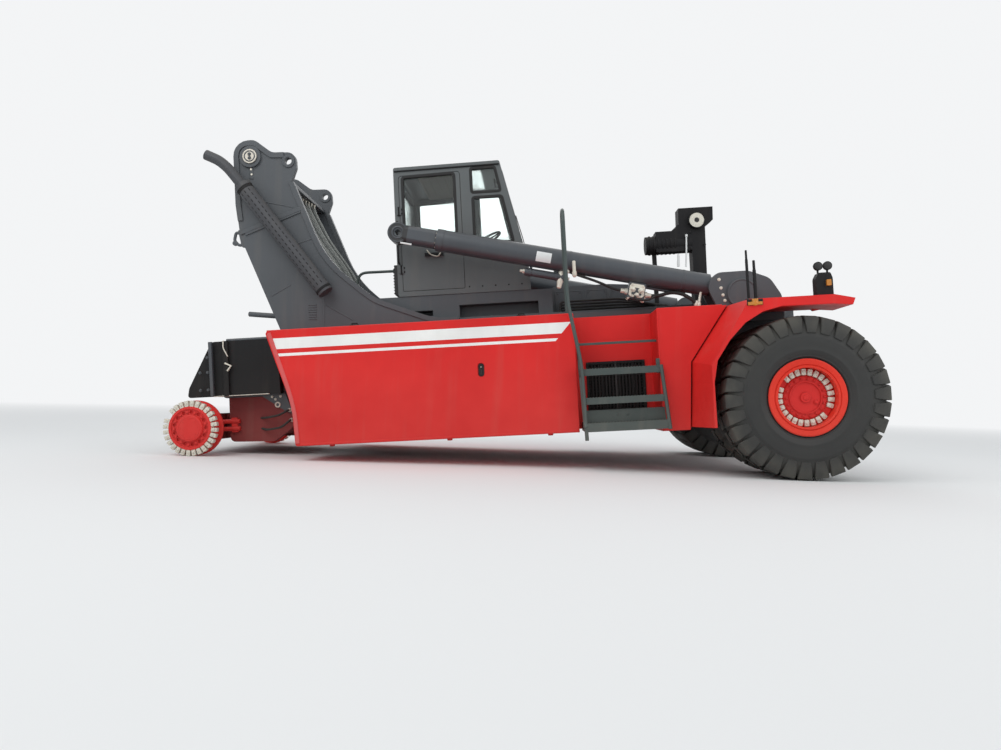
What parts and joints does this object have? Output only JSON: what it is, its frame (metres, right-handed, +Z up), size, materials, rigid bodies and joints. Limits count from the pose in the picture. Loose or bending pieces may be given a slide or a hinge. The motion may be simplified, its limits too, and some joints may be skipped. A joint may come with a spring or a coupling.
{
  "type": "reach stacker",
  "caption": "Reach stacker carrier stripped for shipping: boom, spreader, counterweight and steer wheels off, lift cylinders laid back beside the cab.",
  "frame": {"origin": "centre of the bounding box at floor level", "axes": "+X forward over the drive axle, +Y to the machine's left, +Z up"},
  "size_m": [7.5351, 4.2, 3.6922],
  "materials": {
    "frame_grey": "satin paint, dusty",
    "black": "black paint",
    "body_red": "gloss paint",
    "rim_red": "gloss paint",
    "axle_red": "matt paint",
    "tyre": "worn rubber",
    "steel": "bare steel",
    "tube_grey": "satin paint",
    "rod_chrome": "polished",
    "glass": "clear",
    "ladder_grey": "satin paint",
    "amber": "lamp lens",
    "hose": "woven sleeve",
    "seat_black": "cloth"
  },
  "bodies": {
    "carrier": {"frame_plates": "frame_grey", "cross_members": "frame_grey", "pivot_pins": "steel", "tail_frame": "black", "engine": "black", "deck": "frame_grey", "valve_hood": "black", "drive_axle": "axle_red", "steer_axle": "axle_red", "steer_cylinder": "black", "tanks": "body_red", "ladder_bays": "body_red", "grilles": "black", "front_covers": "body_red", "fenders": "body_red", "ladders": "ladder_grey", "foot_brackets": "frame_grey", "cab_base": "frame_grey", "cab_shell": "frame_grey", "cab_doors": "frame_grey", "cab_glass": "glass", "seat": "seat_black", "console": "black", "exhaust": "black", "lamp_post": "black", "lamps": "amber", "hoses": "hose"},
    "drive_wheel_right": {"drive_tyres_right": "tyre", "drive_rims_right": "rim_red", "drive_hub_right": "body_red"},
    "drive_wheel_left": {"drive_tyres_left": "tyre", "drive_rims_left": "rim_red", "drive_hub_left": "body_red"},
    "knuckle_right": {"knuckle_right": "axle_red"},
    "knuckle_left": {"knuckle_left": "axle_red"},
    "steer_hub_right": {"steer_hub_right": "body_red"},
    "steer_hub_left": {"steer_hub_left": "body_red"},
    "steer_rod": {"steer_rod": "steel"},
    "lift_tube_right": {"lift_tube_right": "tube_grey"},
    "lift_tube_left": {"lift_tube_left": "tube_grey"},
    "lift_rod_right": {"lift_rod_right": "rod_chrome"},
    "lift_rod_left": {"lift_rod_left": "rod_chrome"}
  },
  "joints": [
    {"name": "drive_right", "type": "hinge", "parent": "carrier", "child": "drive_wheel_right", "pos_m": [2.95758, -1.5425, 0.81], "axis": [0, 1, 0], "continuous": true},
    {"name": "drive_left", "type": "hinge", "parent": "carrier", "child": "drive_wheel_left", "pos_m": [2.95758, 1.5425, 0.81], "axis": [0, 1, 0], "continuous": true},
    {"name": "steer_right", "type": "hinge", "parent": "carrier", "child": "knuckle_right", "pos_m": [-3.46258, -1.08, 0.305], "axis": [-0.0784, 0, 0.9969], "range_deg": [-50, 50]},
    {"name": "steer_left", "type": "hinge", "parent": "carrier", "child": "knuckle_left", "pos_m": [-3.46258, 1.08, 0.305], "axis": [-0.0784, 0, 0.9969], "range_deg": [-50, 50]},
    {"name": "steer_slide", "type": "slide", "parent": "carrier", "child": "steer_rod", "axis": [0, 1, 0], "range_m": [-0.1535, 0.1535]},
    {"name": "hub_right", "type": "hinge", "parent": "knuckle_right", "child": "steer_hub_right", "pos_m": [-3.46258, -1.29, 0.305], "axis": [0, 1, 0], "continuous": true},
    {"name": "hub_left", "type": "hinge", "parent": "knuckle_left", "child": "steer_hub_left", "pos_m": [-3.46258, 1.29, 0.305], "axis": [0, 1, 0], "continuous": true},
    {"name": "lift_swing_right", "type": "hinge", "parent": "carrier", "child": "lift_tube_right", "pos_m": [2.53286, -1, 2.00136], "axis": [0, 1, 0], "range_deg": [0, 45]},
    {"name": "lift_slide_right", "type": "slide", "parent": "lift_tube_right", "child": "lift_rod_right", "axis": [-0.989, 0, 0.1479], "range_m": [0, 1.2]},
    {"name": "lift_swing_left", "type": "hinge", "parent": "carrier", "child": "lift_tube_left", "pos_m": [2.53286, 1, 2.00136], "axis": [0, 1, 0], "range_deg": [0, 45]},
    {"name": "lift_slide_left", "type": "slide", "parent": "lift_tube_left", "child": "lift_rod_left", "axis": [-0.989, 0, 0.1479], "range_m": [0, 2.7]}
  ],
  "couplings": [
    {"joint": "steer_left", "follows": "steer_right", "ratio": 1},
    {"joint": "steer_slide", "follows": "steer_right", "m_per_rad": -0.17556}
  ]
}
